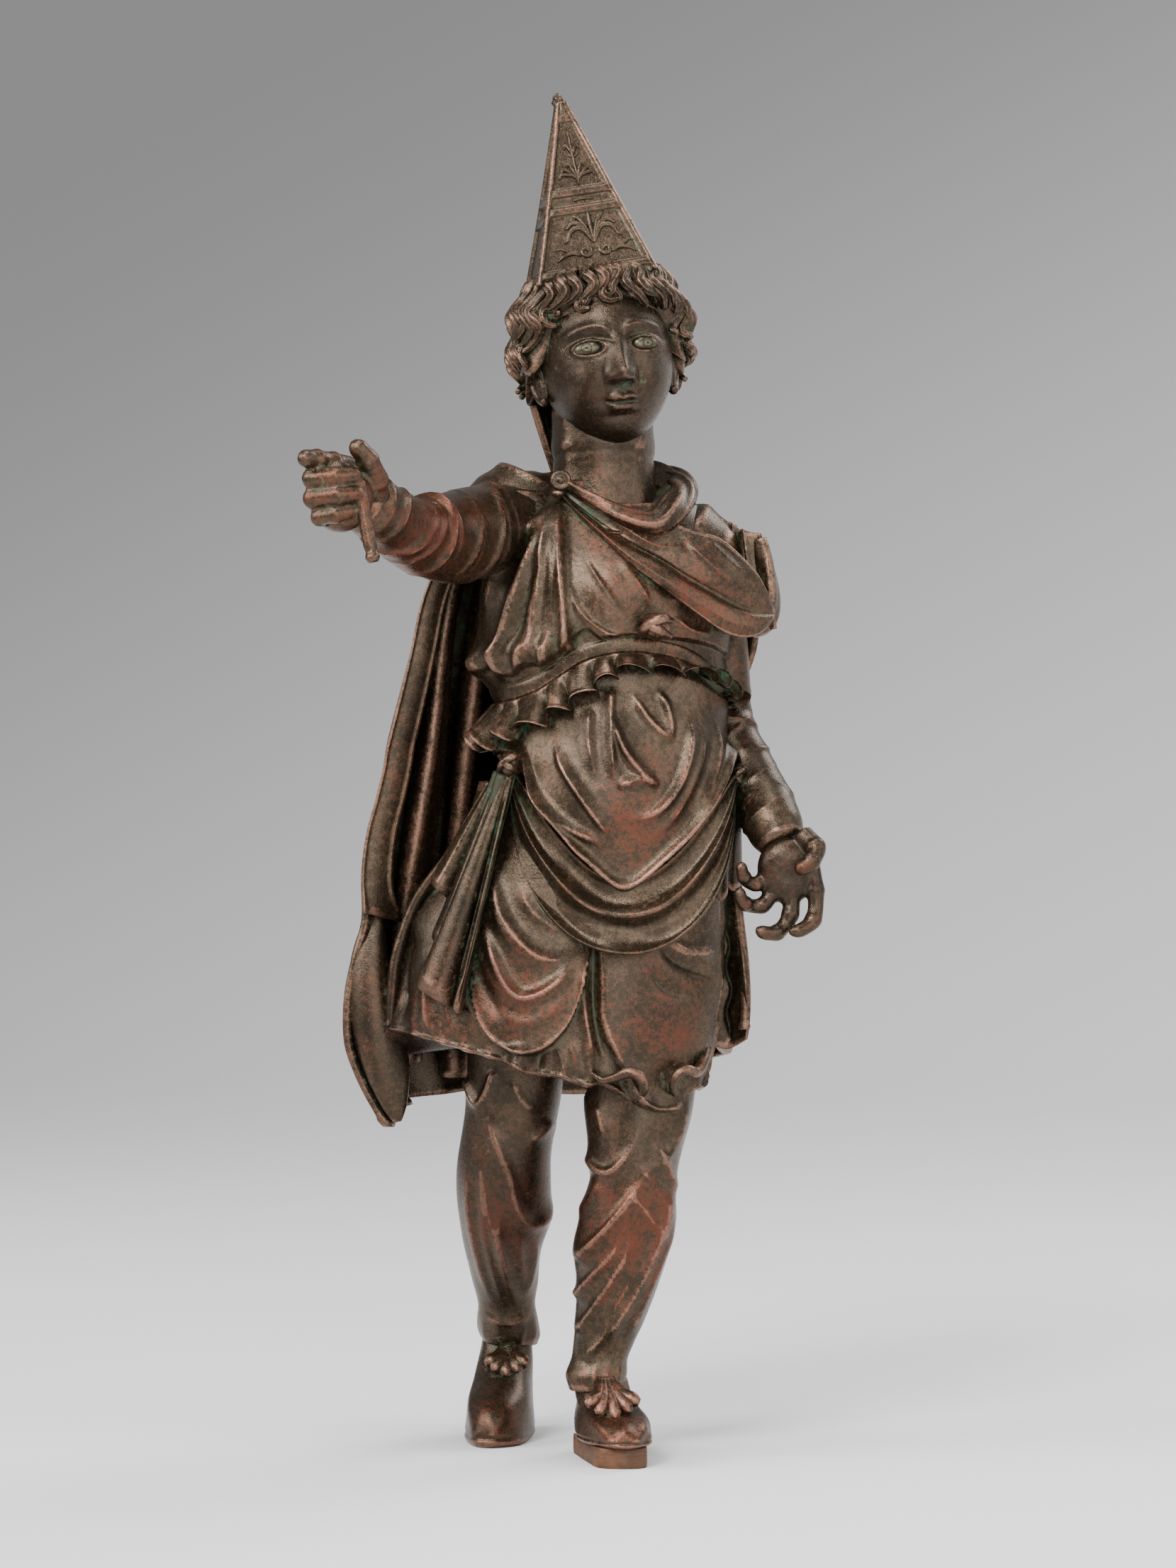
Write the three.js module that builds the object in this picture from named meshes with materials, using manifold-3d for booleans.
// A cast bronze figure of a boy in eastern dress, about 0.63 m tall: tall four-sided hat, curls, cloak, belted
// tunic with a looped-up overfold, loose trousers and shoes, one arm held out. The casting is one piece. Two eye
// inlays and the block that fills the broken left sole are pieces of their own.
// Millimetres, +Z up, and the figure looks along -Y. Angles round the body start in front and grow towards +X.
import * as THREE from "three";
import { mergeVertices } from "three/addons/utils/BufferGeometryUtils.js";
import Module from "manifold-3d";

const wasm = await Module();
wasm.setup();

// Driving dimensions. Places are measured from the body's upright axis, with the floor at height 0.
const MIDDLE = [-9, -47]; // the middle of the whole figure, arm and all, seen from above: it becomes the origin
const TURN = Math.PI * 2;
const GAP = 0.3; // between pieces that touch
const SHORTEST = 0.5; // edges shorter than this are closed up
const THINNEST = 0.02; // a triangle's least height

const BELT = 7.5; // width
const KNOTS = { right: [-36, 320], left: [68, 316] }; // hip knots in the front view, on the figure's two sides
const KNOT_GATHER = 2.5; // spacing of the overfold's edges where they run into a knot
const HEM = 194; // height of the skirt's underside, inside its hem
const HEAD = { at: [8, -4, 507], halfWidth: 30, halfDepth: 37, halfHeight: 42, roll: -6, yaw: 10, pitch: -6 };
const HAT = {
  at: [8, -2, 507], base: 24, height: 97, halfBase: 30.4, halfTip: 2.4, border: 2.2, roll: -9.3, yaw: 8, pitch: -5,
};

const colour = { bronze: 0x4a2f22, block: 0x7a4a2c, inlay: 0x8d857a };
const smooth = THREE.MathUtils.smoothstep;
const mix = THREE.MathUtils.lerp;
const radians = THREE.MathUtils.degToRad;
const at = (x, y, z) => new THREE.Vector3(x, y, z);
const bump = (distance, width) => Math.exp(-((distance / width) ** 2));
const hump = (t) => Math.sqrt(Math.max(0, 4 * t * (1 - t)));

// A smooth curve through [place, value] pairs, the places rising.
function profile(pairs) {
  const last = pairs.length - 1;
  const slope = (j) => {
    const [a, b] = [pairs[Math.max(j - 1, 0)], pairs[Math.min(j + 1, last)]];
    return (b[1] - a[1]) / (b[0] - a[0]);
  };
  return (place) => {
    const z = Math.min(Math.max(place, pairs[0][0]), pairs[last][0]);
    let i = 0;
    while (i < last - 1 && z > pairs[i + 1][0]) i++;
    const [[z0, v0], [z1, v1]] = [pairs[i], pairs[i + 1]];
    const [h, t] = [z1 - z0, (z - z0) / (z1 - z0)];
    const [t2, t3] = [t * t, t * t * t];
    return (
      v0 * (2 * t3 - 3 * t2 + 1) + v1 * (3 * t2 - 2 * t3) +
      slope(i) * h * (t3 - 2 * t2 + t) + slope(i + 1) * h * (t3 - t2)
    );
  };
}

// Straight stretches between [place, value] stops.
function ramp(place, stops) {
  const i = Math.max(1, stops.findIndex(([stop]) => place <= stop));
  const [[from, a], [to, b]] = [stops[i - 1], stops[i]];
  return mix(a, b, (place - from) / (to - from));
}

// A line of cloth or flesh laid over a surface, seen from the front: it stands up by height, or sinks if that is
// below 0, and thins out towards both ends.
function crease(points, width, height) {
  const line = new THREE.SplineCurve(points.map(([x, z]) => new THREE.Vector2(x, z))).getPoints(20);
  return (x, z) => {
    let [best, where] = [Infinity, 0];
    for (let i = 0; i < line.length - 1; i++) {
      const [a, b] = [line[i], line[i + 1]];
      const [dx, dz] = [b.x - a.x, b.y - a.y];
      const s = THREE.MathUtils.clamp(((x - a.x) * dx + (z - a.y) * dz) / (dx * dx + dz * dz), 0, 1);
      const d = Math.hypot(x - a.x - dx * s, z - a.y - dz * s);
      if (d < best) [best, where] = [d, (i + s) / (line.length - 1)];
    }
    return height * bump(best, width) * hump(where) ** 0.7;
  };
}

const total = (creases) => (x, z) => creases.reduce((sum, f) => sum + f(x, z), 0);

// Moves every vertex of a three.js shape, whose upright is turned from +Y to +Z first, so that its +Z faces the
// front.
function placed(geometry, place) {
  const shape = mergeVertices(geometry.deleteAttribute("normal").deleteAttribute("uv"), 1e-4);
  const spots = shape.attributes.position;
  for (let i = 0; i < spots.count; i++) {
    const p = place(new THREE.Vector3().fromBufferAttribute(spots, i));
    spots.setXYZ(i, p.x, p.y, p.z);
  }
  return shape;
}

// A closed loft. place(angle, level, rim) gives a point: level runs up from 0 to 1, and rim from 0 to 1.
function loft(sides, rings, place) {
  const drum = new THREE.CylinderGeometry(1, 1, 1, sides, rings);
  return solid(placed(drum, (p) => place(Math.atan2(p.x, p.z), p.y + 0.5, Math.hypot(p.x, p.z))));
}

// A thick sheet. place(across, up, face) gives a point: across and up run from 0 to 1, and face is 1 outside and
// 0 inside.
function sheet(columns, rows, place) {
  const slab = new THREE.BoxGeometry(1, 1, 1, columns, rows, 1);
  return solid(placed(slab, (p) => place(p.x + 0.5, p.y + 0.5, p.z + 0.5)));
}

// A round limb along a smooth path through points, with a radius profile along it and an optional relief.
function limb(points, radii, sides, rings, relief = () => 0) {
  const path = new THREE.CatmullRomCurve3(points.map((p) => at(...p)));
  const radius = profile(radii);
  const ahead = at(0, -1, 0);
  return loft(sides, rings, (angle, level, rim) => {
    const along = THREE.MathUtils.clamp(level, 0.0005, 0.9995);
    const middle = path.getPoint(along);
    const way = path.getTangent(along);
    const front = ahead.clone().addScaledVector(way, -ahead.dot(way)).normalize();
    if (front.lengthSq() < 0.5) front.set(0, 0, 1);
    const side = new THREE.Vector3().crossVectors(way, front).negate();
    const out = front.multiplyScalar(Math.cos(angle)).addScaledVector(side, Math.sin(angle));
    return middle.addScaledVector(out, rim * (radius(level) + relief(angle, level)));
  });
}

// A ball or egg, with an optional frame that turns and places it.
function ball(radii, sides, rings, frame, relief = () => 0) {
  const globe = new THREE.SphereGeometry(1, sides, rings);
  return solid(
    placed(globe, (p) => {
      const q = at(p.x * radii[0], -p.z * radii[1], p.y * radii[2]);
      return q.addScaledVector(at(p.x, -p.z, p.y), relief(q)).applyMatrix4(frame);
    }),
  );
}

// A frame at a place, turned about X (pitch), Y (roll) and then Z (yaw), in degrees.
function frameAt([x, y, z], { pitch = 0, roll = 0, yaw = 0 } = {}) {
  const turn = new THREE.Euler(radians(pitch), radians(roll), radians(yaw), "ZYX");
  return new THREE.Matrix4().makeRotationFromEuler(turn).setPosition(x, y, z);
}

// Sends a geometry to manifold-3d, facing out.
function solid(geometry) {
  const merged = mergeVertices(geometry, 1e-5);
  const corners = new Float32Array(merged.attributes.position.array);
  const faces = new Uint32Array(merged.index.array);
  const build = () => new wasm.Manifold(new wasm.Mesh({ numProp: 3, vertProperties: corners, triVerts: faces }));
  const made = build();
  if (made.volume() > 0) return made;
  for (let i = 0; i < faces.length; i += 3) [faces[i + 1], faces[i + 2]] = [faces[i + 2], faces[i + 1]];
  return build();
}

const joined = (solids) => solids.reduce((whole, piece) => whole.add(piece));

// Cutting leaves edges and triangles as thin as a hair. Short edges close up, and a flat triangle's longest edge
// is swapped for the other diagonal of the four corners that it and its neighbour have.
function withoutHairs(geometry) {
  const spots = geometry.attributes.position;
  const spot = (corner) => new THREE.Vector3().fromBufferAttribute(spots, corner);
  const distance = (a, b) => spot(a).distanceTo(spot(b));
  const next = (i) => i - (i % 3) + ((i + 1) % 3);

  const goesTo = Array.from({ length: spots.count }, (_, corner) => corner);
  const end = (corner) => (goesTo[corner] === corner ? corner : end(goesTo[corner]));
  geometry.index.array.forEach((from, i, all) => {
    const [a, b] = [end(from), end(all[next(i)])];
    if (a !== b && distance(a, b) < SHORTEST) goesTo[a] = b;
  });
  const corners = [];
  for (let i = 0; i < geometry.index.array.length; i += 3) {
    const face = [...geometry.index.array.slice(i, i + 3)].map(end);
    if (new Set(face).size === 3) corners.push(...face);
  }

  const key = (from, to) => from * spots.count + to;
  const edges = new Map();
  const keep = (i) => [i, i + 1, i + 2].forEach((k) => edges.set(key(corners[k], corners[next(k)]), k));
  for (let i = 0; i < corners.length; i += 3) keep(i);
  for (let i = 0; i < corners.length; i += 3) {
    const lengths = [i, i + 1, i + 2].map((k) => distance(corners[k], corners[next(k)]));
    const long = i + lengths.indexOf(Math.max(...lengths));
    const [a, b, c] = [corners[long], corners[next(long)], corners[next(next(long))]];
    if (new THREE.Triangle(spot(a), spot(b), spot(c)).getArea() * 2 > THINNEST * Math.max(...lengths)) continue;
    const twin = edges.get(key(b, a));
    const d = corners[next(next(twin))];
    if (edges.has(key(c, d)) || edges.has(key(d, c))) continue;
    edges.delete(key(a, b));
    edges.delete(key(b, a));
    corners.splice(i, 3, a, d, c);
    corners.splice(twin - (twin % 3), 3, d, b, c);
    keep(i);
    keep(twin - (twin % 3));
  }
  return geometry.setIndex(corners);
}

// A named mesh of a solid.
function mesh(name, body, tint, roughness, metalness) {
  const data = body.getMesh();
  const cut = new THREE.BufferGeometry()
    .setAttribute("position", new THREE.BufferAttribute(new Float32Array(data.vertProperties), 3))
    .setIndex(new THREE.BufferAttribute(data.triVerts, 1));
  const geometry = withoutHairs(cut);
  geometry.computeVertexNormals();
  const made = new THREE.Mesh(geometry, new THREE.MeshStandardMaterial({ color: tint, roughness, metalness }));
  made.name = name;
  return made;
}

// The body's cross-section at a height is an ellipse between left, right, front and back.
function girth({ left, right, front, back }) {
  const edges = [left, right, front, back].map(profile);
  return (angle, z, out = 0) => {
    const [l, r, f, b] = edges.map((edge) => edge(z));
    return at(
      (l + r) / 2 + ((r - l) / 2 + out) * Math.sin(angle),
      (f + b) / 2 - ((b - f) / 2 + out) * Math.cos(angle),
      z,
    );
  };
}

const SKIRT = girth({
  left: [[160, -90], [185, -93], [205, -93], [225, -91], [243, -87], [256, -80], [268, -71], [285, -58],
    [320, -44]],
  right: [[160, 52], [178, 54], [192, 58], [215, 62], [240, 62], [265, 66], [300, 68], [320, 68]],
  front: [[160, -42], [180, -45], [220, -43], [260, -38], [320, -34]],
  back: [[160, 52], [200, 50], [260, 44], [320, 38]],
});

const BODY = girth({
  left: [[250, -36], [290, -41], [320, -42], [345, -42], [362, -49], [385, -50], [405, -48], [425, -42],
    [440, -32], [452, -14]],
  right: [[250, 58], [290, 64], [320, 64], [345, 65], [360, 66], [372, 65], [400, 68], [425, 62], [440, 50],
    [452, 34]],
  front: [[250, -46], [275, -52], [305, -54], [335, -48], [358, -43], [390, -43], [415, -37], [438, -26],
    [452, -20]],
  back: [[250, 36], [300, 38], [345, 36], [390, 40], [425, 36], [452, 20]],
});

// Lofts round the body have their columns closest together in front.
const frontward = (angle) => angle - 0.6 * Math.sin(angle);

// Skirt: plain behind, with two lobes of cloth that hang over the thighs in front.
const lobeRims = [
  {
    from: -54,
    to: 2,
    edge: profile([[-56, 226], [-49, 204], [-40, 192], [-30, 188], [-20, 191], [-10, 201], [-4, 215],
      [2, 238]]),
  },
  {
    from: 3,
    to: 60,
    edge: profile([[2, 232], [4, 210], [9, 192], [16, 184], [26, 179], [40, 178], [50, 184], [57, 200],
      [61, 232]]),
  },
];
const skirtFolds = total([
  crease([[-40, 275], [-36, 252], [-31, 240], [-20, 233], [-8, 236]], 3.6, 2.8),
  crease([[-46, 248], [-40, 228], [-29, 215], [-15, 222], [-3, 240]], 3.4, 3),
  crease([[-58, 240], [-54, 212], [-44, 190]], 4, 3),
  crease([[30, 238], [40, 227], [54, 221]], 3, -2.6),
  crease([[-84, 240], [-86, 220], [-84, 198]], 6, -4),
  crease([[-70, 235], [-72, 210], [-70, 190]], 5, 3),
]);
const hemLine = profile([[-95, 197], [-80, 195], [-60, 190], [-45, 186], [-34, 184], [-26, 180], [-10, 177],
  [2, 172], [14, 171], [24, 165], [38, 163], [47, 167], [54, 178], [62, 184]]);

function skirt() {
  const lobes = (x, z) =>
    lobeRims.reduce((sum, { from, to, edge }) => {
      if (x < from || x > to) return sum;
      const middle = (x - (from + to) / 2) / ((to - from) / 2);
      return sum + smooth(z - edge(x), -3, 1.5) * (3 + 5 * Math.sqrt(1 - middle * middle));
    }, 0);
  return loft(28, 9, (angle, level, rim) => {
    const turned = frontward(angle);
    const front = smooth(Math.cos(turned), -0.15, 0.3);
    const low = mix(186 + 3 * Math.cos(6 * turned), hemLine(SKIRT(turned, 190).x), front);
    if (rim < 0.5) return level < 0.5 ? at(-10, 4, HEM) : at(10, 0, 312);
    const z = mix(low, 312, level ** 1.35);
    const spot = SKIRT(turned, z);
    const behind = 3 * Math.cos(9 * turned) * (1 - level);
    return SKIRT(turned, z, mix(behind, skirtFolds(spot.x, z) + lobes(spot.x, z), front));
  });
}

// Belly: the tunic between the belt and the upper rim of the overfold.
const bellyRim = profile([[-44, 326], [-28, 322], [-22, 305], [-12, 289], [0, 275], [10, 266], [16, 263],
  [23, 265], [36, 277], [48, 291], [56, 306], [64, 324], [72, 328]]);
const bellyFolds = total([
  crease([[-12, 340], [-10, 320], [-1, 300], [14, 287]], 3, 2.8),
  crease([[-24, 326], [-19, 306], [-6, 290], [12, 281]], 3, 2.6),
  crease([[11, 356], [11, 330], [10, 308]], 2.6, 3),
  crease([[15, 343], [18, 326], [25, 315], [35, 314], [37, 322]], 3, 3),
  crease([[36, 354], [37, 342], [34, 330]], 3, 2.4),
  crease([[45, 338], [42, 318], [33, 302], [17, 294]], 3, 3),
  crease([[60, 340], [57, 318], [46, 292]], 3, 3),
]);

// Overfold: cloth that hangs in deep curves between the hip knots, in two tiers with rolled lower edges.
function overfold() {
  const curves = [[86, 0.86], [69, 1.7], [48, 2.6]]; // how far each curve sags, and how pointed it is
  // Each row's place between the curves, how far it stands out and its roll.
  const tiers = [[0, 9, 2], [0.32, 9, 1], [0.85, 8, 0], [1, 11.5, 2], [1.3, 11, 0.6], [2, 9, 0]];
  const middle = (KNOTS.right[0] + KNOTS.left[0]) / 2;
  const half = (KNOTS.left[0] - KNOTS.right[0]) / 2 + 4;
  return sheet(14, tiers.length - 1, (across, up, face) => {
    const t = 0.5 + 0.5 * Math.sin(mix(-0.5, 0.5, across) * Math.PI);
    const [x, line] = [mix(KNOTS.right[0], KNOTS.left[0], t), mix(KNOTS.right[1], KNOTS.left[1], t)];
    const [place, out, roll] = tiers[Math.round(up * (tiers.length - 1))];
    const [low, high] = [Math.min(1, Math.floor(place)), Math.min(1, Math.floor(place)) + 1];
    const drops = [low, high].map((i) => curves[i][0] * hump(t) ** curves[i][1] + KNOT_GATHER * (2 - i));
    const round = Math.sqrt(Math.max(0.02, 1 - ((x - middle) / half) ** 2));
    const z = line - mix(...drops, place - low) + (face === 1 ? 0 : 2);
    return at(x, 2 - mix(18, 43 + out + roll, face) * mix(0.42, 1, round), z);
  });
}

// Ruffle: the blouse's frill below the belt, a thick wavy strip that stands out most at its right.
const ruffleRim = profile([[-56, 331], [-40, 330], [-28, 335], [-15, 342], [-3, 350], [5, 355], [13, 361],
  [27, 364], [45, 362], [55, 361], [62, 354], [68, 343], [74, 333]]);
const beltLine = profile([[-50, 350], [-36, 352], [-20, 357], [-8, 364], [4, 371], [20, 374.5], [36, 373],
  [50, 368], [60, 359], [70, 350]]);

function ruffle() {
  const waves = 12;
  return sheet(36, 2, (across, up, face) => {
    const angle = mix(-1.72, 1.72, across);
    const x = BODY(angle, 345).x;
    const low = ruffleRim(x) + 2.4 * Math.cos(2 * waves * angle);
    const z = mix(low, beltLine(x) - 3, up);
    const flare = (1 - up) * (5 + 2.4 * Math.sin(2 * waves * angle + 1.4) + 5 * smooth(-angle, 0.5, 1.4));
    return BODY(angle, z, face === 1 ? flare + 1.2 : -8);
  });
}

// Bodice: the blouse above the belt, with folds that fan out from the brooch and bag over the belt on its right
// side.
const bodiceRim = profile([[-56, 366], [-42, 362], [-28, 361], [-14, 366], [-6, 372], [3, 381], [10, 377],
  [30, 378], [56, 374], [70, 366]]);
const bodiceFolds = total([
  crease([[-14, 444], [-21, 420], [-31, 394], [-41, 364]], 3.4, 4.4),
  crease([[-13, 440], [-18, 408], [-22, 386], [-24, 366]], 3, 3.6),
  crease([[-11, 440], [-9.5, 410], [-8, 386], [-6, 368]], 2.6, 5),
  crease([[-12, 440], [-34, 414], [-50, 372]], 4, 3.4),
  crease([[-2, 424], [10, 398], [25, 380]], 2.4, 1.5),
  crease([[-7, 404], [-3, 389], [8, 382]], 2.6, 2),
]);

// Belly, belt and bodice are one loft whose rings follow the tunic's rims and the belt.
function torso() {
  const rings = { belly: 6, belt: 7, bodice: 8, all: 15 };
  const neck = 451;
  return loft(29, rings.all, (angle, level, rim) => {
    const turned = frontward(angle);
    const front = smooth(Math.cos(turned), -0.2, 0.2);
    const x = BODY(turned, 345).x;
    const low = mix(322, bellyRim(x), front);
    const belt = [beltLine(x) - BELT / 2, beltLine(x) + BELT / 2];
    const bag = mix(belt[1] + 1, Math.max(bodiceRim(x), belt[1] + 0.5), front);
    if (rim < 0.5) return at(12, 0, level < 0.5 ? 330 : neck + 1);
    const ring = Math.round(level * rings.all);
    const waist = [[rings.belly, belt[0]], [rings.belt, belt[1]], [rings.bodice, bag]];
    const z = ramp(ring, [[0, low], ...waist, [rings.all, neck]]);
    const spot = BODY(turned, z);
    if (ring < rings.belly)
      return BODY(turned, z, front * (bellyFolds(spot.x, z) + 3 * smooth(1 - ring / rings.belly, 0.55, 1)));
    if (ring < rings.bodice) return BODY(turned, z, 1);
    const chest = 5 * bump(spot.x - 12, 17) * bump(z - 404, 20) + 3 * bump(spot.x + 22, 18) * bump(z - 404, 22);
    const overhang = 5 * smooth(-spot.x, 0, 20) * bump(z - 368, 14);
    return BODY(turned, z, front * (bodiceFolds(spot.x, z) + chest + overhang));
  });
}

// Cloak over the chest: from the brooch down across the breast and round the left arm, with a thick hem band.
const cloakTop = profile([[-13, 449], [0, 443], [15, 437], [32, 434], [46, 428], [60, 424], [72, 414],
  [88, 396]]);
const cloakHem = profile([[-13, 444], [-6, 436], [4, 426], [18, 413], [34, 401], [50, 389], [64, 380], [76, 379],
  [88, 386]]);

function chestCloak() {
  return sheet(16, 4, (across, up, face) => {
    const x = mix(-14, 86, across);
    const z = mix(cloakHem(x), cloakTop(x), up ** 1.2);
    const round = Math.sqrt(Math.max(0, 1 - ((x - 20) / 67) ** 2));
    const band = 3.4 * smooth(0.36 - up, 0, 0.1) + 1.6 * bump(up - 0.7, 0.16) * smooth(across, 0.2, 0.5);
    const lean = 17 * smooth(z, 402, 452);
    return at(x, 2 + lean - mix(16, 45 + band, face) * mix(0.25, 1, round), z + (face === 1 ? 0 : 1));
  });
}

// The cloak's collar stands round the neck, low in front and high behind.
function collar() {
  const top = (angle) => 447 - 13 * Math.cos(angle) + 6 * Math.max(0, Math.sin(angle));
  return loft(18, 3, (angle, level, rim) => {
    if (rim < 0.5) return at(12, 2, level < 0.5 ? 424 : 431);
    const spread = 26 + 15 * Math.sqrt(1 - level) + 2.5 * Math.sin(3 * angle + 1) * (1 - level);
    const [x, y] = [14 + spread * Math.sin(angle), 1 - spread * 0.86 * Math.cos(angle)];
    return at(x, y, mix(426, top(angle), level));
  });
}

// The cloak on both shoulders, and the flat strip of its edge that hangs outside the left arm.
function shoulders() {
  const nape = ball([20, 16, 16], 8, 5, frameAt([6, 24, 426]));
  const right = ball([31, 24, 26], 12, 7, frameAt([-33, 7, 433], { roll: 8 }));
  const left = ball([25, 27, 29], 10, 7, frameAt([47, 3, 412]));
  const edgeStrip = sheet(2, 4, (across, up, face) => {
    const z = mix(381, 428, up);
    const x = mix(mix(76, 71, up), mix(87, 80, up), across);
    return at(x, mix(8, -14, face) + 6 * up, z + 3 * across * (0.5 - up));
  });
  return joined([right, left, nape, edgeStrip]);
}

// The cloak down the back: a thick sheet round the body from one front edge to the other.
const CLOAK = {
  right: profile([[150, 98], [163, 106], [175, 112], [190, 117], [212, 117], [232, 113], [247, 109], [268, 109],
    [288, 106], [303, 102], [317, 99], [330, 97], [373, 86], [402, 78], [425, 65], [440, 52], [449, 34]]),
  left: profile([[180, 66], [195, 70], [212, 71], [230, 70], [260, 67], [330, 68], [380, 76], [410, 70],
    [430, 54], [449, 30]]),
  back: profile([[150, 80], [200, 77], [260, 70], [320, 62], [380, 54], [425, 46], [440, 38], [449, 26]]),
  thick: 4,
};

function backCloak() {
  const ends = (angle) => 34 * bump(angle - 1.5, 0.5) - 11 * bump(angle - 4.68, 0.12);
  const hem = (angle) => 162 + ends(angle) + 2 * Math.cos(5 * angle);
  return sheet(24, 6, (across, up, face) => {
    // Angles here run from the left front edge, at the body's side, round the back to the right front edge.
    const angle = mix(1.5, 4.72, across);
    const z = mix(hem(angle), 449, up ** 1.3);
    const [sin, cos] = [Math.sin(angle), Math.cos(angle)];
    const side = sin < 0 ? CLOAK.right(z) : CLOAK.left(z);
    const edge = smooth(Math.min(across, 1 - across), 0, 0.08);
    const fold = (1 - up) ** 0.7 * edge * (6 * Math.cos(12 * angle + 0.5) - 3) - (face === 1 ? 0 : CLOAK.thick);
    return at(4 + (side + fold) * sin, 4 - (CLOAK.back(z) + fold) * cos, z);
  });
}

// The cloak's right front edge is turned out to face forward, down to a curl at mid height.
function turnedEdge() {
  return sheet(2, 7, (across, up, face) => {
    const z = mix(246 + 5 * (1 - across), 412, up);
    const outer = 4 - CLOAK.right(z);
    const width = mix(15, 11, up);
    const curl = 7 * bump(z - 246, 9) * across;
    return at(outer + width * across + curl * 0.4, (face === 1 ? -3 : 3) + 5 * across + curl, z);
  });
}

// Gathered cloth that fans down from a hip knot in pleats, whose lower ends step in zigzags.
function fan({ knot, ends, pleats, depth, top }) {
  const hem = new THREE.CatmullRomCurve3(ends.map((end) => at(...end)));
  return sheet(pleats * 4, 2, (across, up, face) => {
    const spot = at(...knot).add(at((across - 0.5) * top, 0, 0)).lerp(hem.getPoint(across), 1 - up);
    const pleat = Math.cos(across * pleats * TURN) * depth * smooth(1 - up, 0, 0.5);
    spot.y -= face === 1 ? pleat + 2.2 : -10;
    return spot;
  });
}

function sideFans() {
  const right = [[-67, -22, 270], [-70, -26, 246], [-78, -26, 225], [-65, -36, 214], [-57, -42, 228]];
  const left = [[60, -28, 266], [66, -18, 264], [71, -8, 272]];
  return joined([
    fan({ knot: [-37, -38, 320], ends: right, pleats: 4, depth: 3.2, top: 9 }),
    fan({ knot: [67, -15, 318], ends: left, pleats: 2, depth: 2, top: 5 }),
    ball([5, 5, 5.5], 6, 4, frameAt([-36, -41, 321])),
    ball([4, 5, 6], 6, 4, frameAt([69, -16, 314])),
  ]);
}

// Legs in loose trousers, gathered at the ankles, with slanting folds.
function leg({ low, high, x, y, radius, turns, phase }) {
  const [midX, midY, r] = [x, y, radius].map(profile);
  return loft(10, 9, (angle, level, rim) => {
    const z = mix(low, high, level);
    const twist = turns * level * TURN;
    const fold = Math.cos(2 * angle + twist + phase) + 0.6 * Math.cos(3 * angle - twist);
    const reach = rim * (r(z) + 1.3 * fold * smooth(level, 0, 0.1));
    return at(midX(z) + reach * Math.sin(angle), midY(z) - reach * Math.cos(angle), z);
  });
}

function legs() {
  return joined([
    leg({
      low: 43, high: 205, turns: 0.9, phase: 0.4,
      x: [[43, -36.5], [55, -38], [75, -39], [90, -40], [104, -39], [135, -39], [165, -34.5], [205, -32]],
      y: [[43, 60], [55, 54], [75, 40], [90, 27], [104, 18], [135, 6], [165, 2], [205, 0]],
      radius: [[43, 12.5], [48, 14.6], [56, 14.4], [64, 13.6], [75, 15.4], [88, 17], [104, 20.6], [120, 22],
        [150, 21.5], [205, 24]],
    }),
    leg({
      low: 31, high: 205, turns: -1, phase: 1.6,
      x: [[31, 4], [38, 3.6], [52, 7.2], [67, 10.7], [82, 13.4], [97, 14.6], [112, 17.6], [131, 21], [151, 23],
        [166, 24.5], [205, 28]],
      y: [[31, -12], [52, -9], [97, -14], [131, -20], [166, -14], [205, -6]],
      radius: [[31, 12.8], [38, 14.4], [45, 13.2], [52, 14], [67, 16.4], [82, 18.8], [97, 21.4], [112, 21.4],
        [131, 19.6], [166, 24.4], [205, 27]],
    }),
  ]);
}

// A shoe: rings from the sole up to the ankle, the higher ones shorter and further back.
function shoe({ middle, turn, sole, top }) {
  const half = profile([[0, 34.5], [0.2, 35.5], [0.42, 32.5], [0.6, 24], [0.8, 16], [1, 12.5]]);
  const back = profile([[0, 0], [0.2, 0], [0.42, 2], [0.6, 9.5], [0.8, 16], [1, 18]]);
  const width = profile([[0, 14], [0.2, 15.5], [0.42, 15], [0.6, 13.4], [1, 11.5]]);
  const frame = frameAt([middle[0], middle[1], sole], { yaw: turn });
  return loft(11, 5, (angle, level, rim) => {
    const x = rim * width(level) * Math.sin(angle) * (1 + 0.12 * Math.cos(angle));
    return at(x, back(level) - rim * half(level) * Math.cos(angle), level * (top - sole)).applyMatrix4(frame);
  });
}

// The shoe's tongue fans out over the instep and ends in leaves.
function tongue({ at: place, turn, size }) {
  const frame = frameAt(place, { pitch: -32, yaw: turn });
  return sheet(6, 1, (across, up, face) => {
    const spread = mix(-0.75, 0.75, across);
    const reach = (1 - up) * size * (0.86 + 0.14 * Math.cos(across * 3 * TURN));
    const side = mix((across - 0.5) * 5, Math.sin(spread) * reach, 1 - up);
    return at(side, face === 1 ? -2.4 : 5, -reach * Math.cos(spread)).applyMatrix4(frame);
  });
}

function shoes() {
  return joined([
    shoe({ middle: [-41, 45], turn: -8, sole: 0, top: 47 }),
    shoe({ middle: [10.5, -25], turn: 15, sole: 9.5, top: 36 }),
    tongue({ at: [-37.5, 46, 44], turn: -8, size: 15 }),
    tongue({ at: [8, -34, 38], turn: 15, size: 19 }),
  ]);
}

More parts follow.
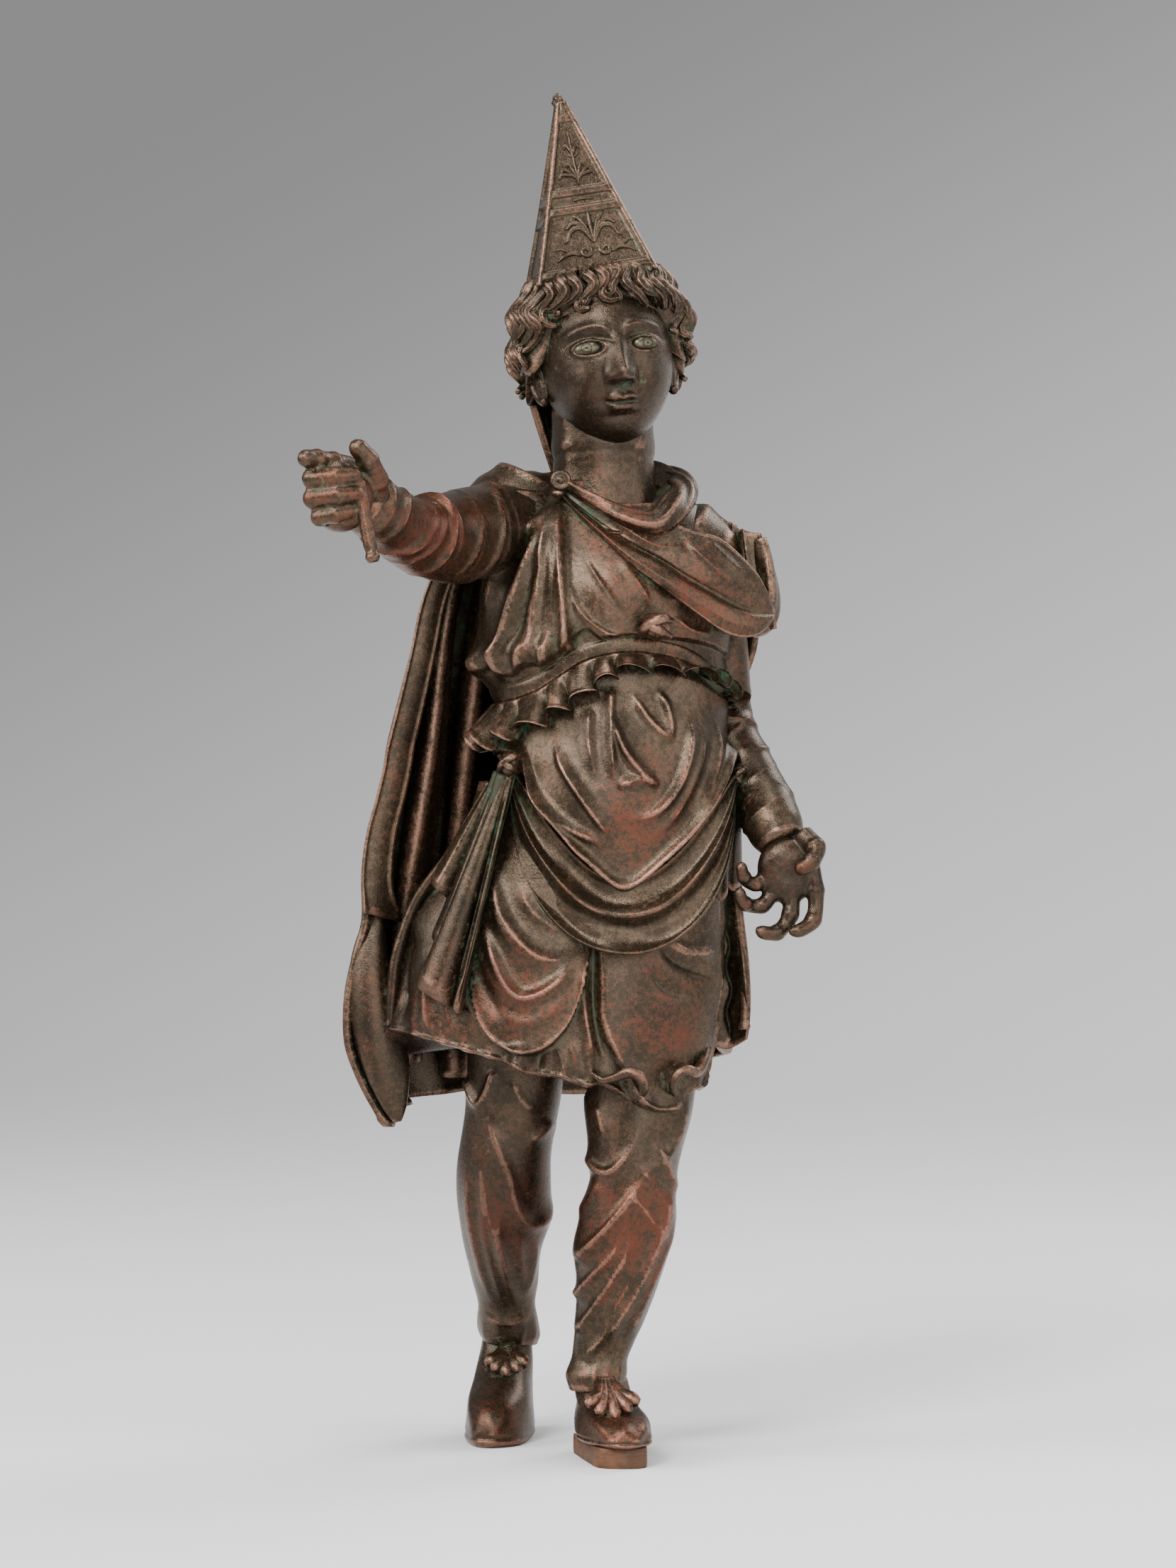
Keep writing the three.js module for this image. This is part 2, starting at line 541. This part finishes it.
// Arms in long sleeves, ringed with folds.
function arms() {
  const rings = (count, depth) => (angle, level) =>
    depth * Math.cos(count * TURN * level + 0.9 * Math.sin(angle)) * smooth(level, 0.05, 0.2);
  const right = limb(
    [[-26, 4, 428], [-48, -25, 428], [-63, -55, 424], [-76, -88, 423], [-87, -118, 431], [-100, -150, 439]],
    [[0, 22], [0.25, 21.5], [0.45, 19.5], [0.65, 17], [0.82, 14.5], [0.95, 13], [1, 10]], 9, 11, rings(4, 1.1));
  const left = limb(
    [[60, 6, 400], [61, 8, 365], [64, 8, 340], [75, -6, 315], [89, -31, 284]],
    [[0, 13.5], [0.5, 13.5], [0.75, 13.5], [0.93, 12.8], [1, 10.5]], 8, 8, rings(3, 1));
  return joined([right, left]);
}

// A finger is a thin limb with a round tip.
function finger(points, radius) {
  return limb(points, [[0, radius * 1.15], [0.45, radius], [0.9, radius * 0.85], [1, radius * 0.4]], 5, 4);
}

function leftHand() {
  const palm = ball([13.5, 8, 15.5], 8, 5, frameAt([91, -34, 272], { roll: -8 }));
  const fingers = [
    finger([[98, -34, 288], [104, -40, 282], [101, -45, 276], [94.5, -47, 272]], 3.9),
    finger([[101, -34, 278], [104, -36, 262], [103, -38, 250], [97, -42, 245], [91.5, -43, 244.5]], 3.4),
    finger([[93, -34, 264], [92.5, -36, 252], [87.5, -38, 244.5], [82, -42, 243.5], [76.5, -43, 245.5]], 3.3),
    finger([[85, -34, 264], [80.5, -36, 256.5], [74, -38, 256], [70, -42, 259], [68.8, -44, 264.5]], 3.1),
    finger([[83, -34, 271], [77.5, -36, 266], [73, -38, 267], [70.5, -41, 271], [69.8, -43, 276]], 2.8),
  ];
  return joined([palm, ...fingers]);
}

function rightHand() {
  const fist = ball([13, 12, 14.5], 8, 5, frameAt([-106, -158, 440], { roll: 8, yaw: -12 }));
  const curled = [
    finger([[-114, -164, 447], [-120, -171, 445.5], [-112, -175, 446.5], [-99, -171, 448]], 3.6),
    finger([[-112, -164, 437], [-118, -171, 435.5], [-110, -175, 437], [-98.5, -171, 439]], 3.5),
    finger([[-110, -162, 429], [-115.5, -169, 427], [-109, -173, 429], [-103, -170, 431]], 3.2),
  ];
  const pointing = finger([[-106, -158, 452], [-115, -168, 455], [-124.5, -180, 456.5]], 3.7);
  const thumb = finger([[-94, -150, 440], [-94, -162, 450], [-98, -168, 458], [-102, -170, 464.5]], 4);
  const stump = [[-99, -170, 446], [-96, -173, 428], [-92.5, -176, 411]];
  const grip = limb(stump, [[0, 3], [0.86, 3.2], [0.9, 2.5], [1, 3.4]], 6, 4);
  return joined([fist, ...curled, pointing, thumb, grip]);
}

// Head. Its frame looks along -Y, with the eyes at height 0 and the chin at -halfHeight.
const EYE = { across: 12.8, up: 1, half: [5.4, 3, 3], depth: -30 };
const headFrame = frameAt(HEAD.at, HEAD);

function head() {
  const face = (p) => {
    const front = smooth(-p.y, 4, 18);
    const side = Math.abs(p.x);
    const nose = 8 * bump(p.x, 3.8) * smooth(-p.z, -7, 14) * (1 - smooth(-p.z, 16, 20));
    const wings = 2.6 * bump(side - 4.8, 2.8) * bump(p.z + 15, 3.4);
    const brows = 2.4 * bump(side - 12, 9) * bump(p.z - 8.5, 4);
    const sockets = -3 * bump(side - 12.6, 6) * bump(p.z - 1, 4.6);
    const cheeks = 2.2 * bump(side - 18, 9) * bump(p.z + 17, 11);
    const lips = 2.8 * bump(p.x, 7) * (bump(p.z + 23.3, 2.4) + bump(p.z + 28.2, 2.6));
    const chin = 3.4 * bump(p.x, 8) * bump(p.z + 37, 6);
    const jaw = -2.5 * smooth(-p.z, 26, 44) * smooth(side, 6, 26);
    return front * (nose + wings + brows + sockets + cheeks + lips + chin) + jaw;
  };
  const skull = loft(18, 15, (angle, level, rim) => {
    const tall = Math.PI * mix(0.02, 0.98, level);
    const [reach, turned] = [rim * Math.sin(tall), frontward(angle)];
    const out = at(reach * Math.sin(turned), -reach * Math.cos(turned), -Math.cos(tall));
    const spot = out.clone().multiply(at(HEAD.halfWidth, HEAD.halfDepth, HEAD.halfHeight));
    return spot.addScaledVector(out, rim * face(spot)).applyMatrix4(headFrame);
  });
  const earFrame = (side) => headFrame.clone().multiply(frameAt([side * 31, 4, -9], { pitch: -12 }));
  const ear = (side) => ball([4, 6, 10], 6, 5, earFrame(side));
  const neck = loft(14, 2, (angle, level, rim) => {
    const z = mix(432, 482, level);
    const reach = rim * mix(26, 23.5, smooth(level, 0, 0.5));
    return at(mix(8, 6.5, level) + reach * Math.sin(angle), 4 - reach * Math.cos(angle), z);
  });
  return joined([skull, neck, ear(-1), ear(1)]);
}

function eyeInlay(side) {
  const frame = headFrame.clone().multiply(frameAt([side * EYE.across, EYE.depth, EYE.up], { yaw: side * 16 }));
  return { inlay: ball(EYE.half, 10, 6, frame), socket: ball(EYE.half.map((r) => r + GAP), 10, 6, frame) };
}

// Hair: a wreath of wavy locks that run out from under the hat, over the brow and down behind the ears.
function hair() {
  const locks = 10;
  return loft(30, 5, (angle, level, rim) => {
    const side = 1 - Math.cos(angle);
    const wave = Math.cos(locks * angle + 2.4 * Math.sin(level * 5) + 0.6 * Math.sin(3 * angle));
    const hairline = 25 - 23 * smooth(side, 0.25, 1.1) - 12 * smooth(side, 1.1, 1.9) - 2.4 * wave;
    if (rim < 0.5) return at(0, 6, level < 0.5 ? 27 : 41).applyMatrix4(headFrame);
    const z = mix(hairline, 39, level);
    const swell = 9 * Math.sin(Math.PI * mix(0.2, 1, level)) ** 0.8 + 5 * smooth(side, 0.5, 1) * (1 - level);
    const reach = 29 + swell + 2 * wave;
    const spot = at(reach * 1.03 * Math.sin(angle), 3 - reach * 0.98 * Math.cos(angle), z);
    return spot.applyMatrix4(headFrame);
  });
}

// Hat: a tall four-sided spike with sunk panels between raised borders, a nub on its broken tip and a neck flap.
function hat() {
  const frame = frameAt(HAT.at, HAT);
  const half = (level) => mix(HAT.halfBase, HAT.halfTip, level);
  const cone = new THREE.CylinderGeometry(1, 1, 1, 4, 1, false, Math.PI / 4);
  const spike = solid(placed(cone, (p) => {
    const level = p.y > 0 ? 1 : 0;
    const reach = half(level) * Math.SQRT2;
    return at(p.x * reach, -p.z * reach, HAT.base + level * HAT.height).applyMatrix4(frame);
  }));
  const panel = (turn, low, high) =>
    sheet(1, 1, (across, up, face) => {
      const level = mix(low, high, up);
      const x = (across - 0.5) * 2 * (half(level) - HAT.border);
      const y = -half(level) + (face === 1 ? -2 : 0.9);
      const spot = at(x, y, HAT.base + level * HAT.height).applyAxisAngle(at(0, 0, 1), (turn * Math.PI) / 2);
      return spot.applyMatrix4(frame);
    });
  const panelRows = [[0.16, 0.44], [0.47, 0.53], [0.56, 0.9]];
  const panels = [0, 1, 2, 3].flatMap((turn) => panelRows.map(([low, high]) => panel(turn, low, high)));
  const nub = ball([2.6, 2.6, 4], 6, 5, frame.clone().multiply(frameAt([-1, 0, HAT.base + HAT.height])));
  const flap = sheet(5, 3, (across, up, face) => {
    const angle = mix(-1, 1, across);
    const reach = mix(25, 33, up) + (face === 1 ? 2.4 : 0);
    return at(7 + reach * 1.02 * Math.sin(angle), 2 + reach * Math.cos(angle), mix(446, 526, up));
  });
  return joined([spike.subtract(joined(panels)), nub, flap]);
}

// The round brooch on the right shoulder and the knot on the belt.
function fastenings() {
  return joined([
    ball([4.6, 5, 4.6], 6, 4, frameAt([-12.5, -22, 450])),
    ball([7.5, 5, 5.4], 7, 4, frameAt([31, -45, 385])),
  ]);
}

// The block under the left shoe, cut to the shoe's outline and a little inside it.
function soleBlock() {
  const outline = new THREE.Shape();
  const [heel, ...rest] = [[-11, 26], [-12.5, -8], [-11, -25], [7, -30], [12, -14], [11, 26]];
  outline.moveTo(...heel);
  rest.forEach((corner) => outline.lineTo(...corner));
  outline.closePath();
  const block = new THREE.ExtrudeGeometry(outline, { depth: 9.2, bevelEnabled: false });
  const frame = frameAt([10.5, -25, 0], { yaw: 15 });
  return solid(placed(block, (p) => p.applyMatrix4(frame)));
}

const eyes = [-1, 1].map(eyeInlay);
const casting = joined([
  skirt(), torso(), overfold(), ruffle(), chestCloak(), collar(), shoulders(), backCloak(),
  turnedEdge(), sideFans(), legs(), shoes(), arms(), leftHand(), rightHand(), head(), hair(), hat(), fastenings(),
]).subtract(joined(eyes.map((eye) => eye.socket)));

const figure = new THREE.Group();
figure.add(mesh("figure", casting, colour.bronze, 0.42, 0.85));
figure.add(mesh("sole_block", soleBlock(), colour.block, 0.6, 0.2));
figure.add(mesh("eye_inlay_right", eyes[0].inlay, colour.inlay, 0.35, 0.6));
figure.add(mesh("eye_inlay_left", eyes[1].inlay, colour.inlay, 0.35, 0.6));
figure.position.set(-MIDDLE[0], -MIDDLE[1], 0);
export default figure;
